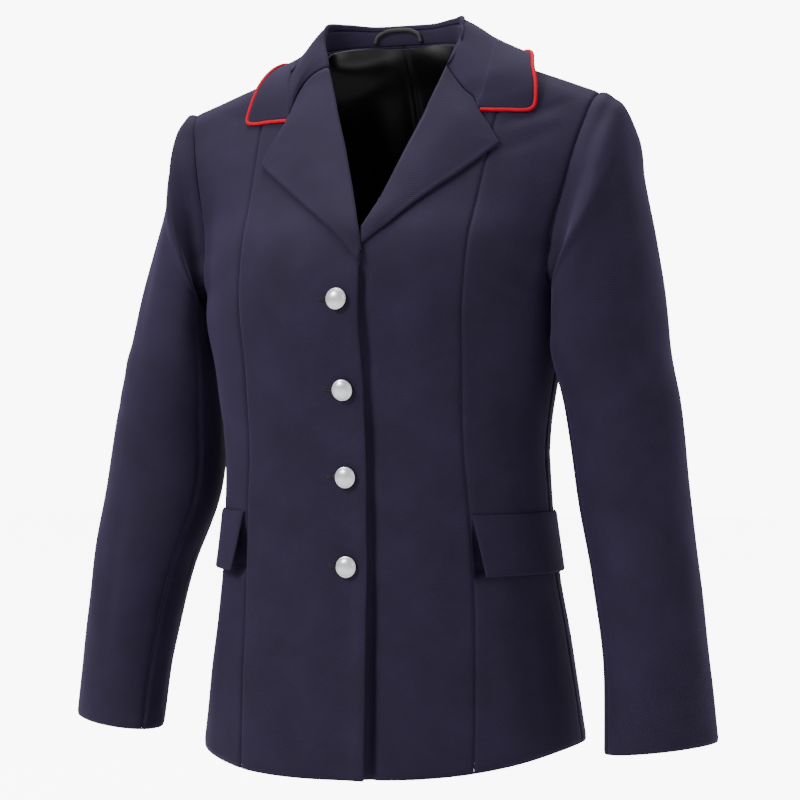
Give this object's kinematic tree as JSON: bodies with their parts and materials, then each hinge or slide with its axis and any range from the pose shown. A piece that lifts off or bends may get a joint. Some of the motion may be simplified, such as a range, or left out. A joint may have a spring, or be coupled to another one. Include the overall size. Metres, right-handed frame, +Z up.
{
  "type": "jacket",
  "caption": "Woman's navy fire service dress jacket, single-breasted, with notched lapels, red-piped collar, pocket flaps and silver buttons, filled out as worn",
  "frame": {"origin": "between the wearer's shoulders, at the height of the side neck points", "axes": "+Z up to the collar, -Y the way the jacket faces, +X to the wearer's left"},
  "size_m": [0.6534, 0.279, 0.7263],
  "materials": {
    "wool": "fine navy wool twill, pressed smooth",
    "lining": "black lining satin",
    "piping": "red cord piping",
    "button_metal": "polished silver-coloured metal"
  },
  "bodies": {
    "root": {"front_centre_left": "wool", "front_centre_right": "wool", "front_side_left": "wool", "front_side_right": "wool", "back_left": "wool", "back_right": "wool", "sleeve_top_left": "wool", "sleeve_top_right": "wool", "sleeve_under_left": "wool", "sleeve_under_right": "wool", "lapel_left": "wool", "lapel_right": "wool", "collar_fall": "wool", "collar_stand": "wool", "pocket_flap_left": "wool", "pocket_flap_right": "wool", "collar_piping": "piping", "lining_back_left": "lining", "lining_back_right": "lining", "hanger_loop": "lining", "button_1": "button_metal", "button_2": "button_metal", "button_3": "button_metal", "button_4": "button_metal"}
  },
  "joints": []
}
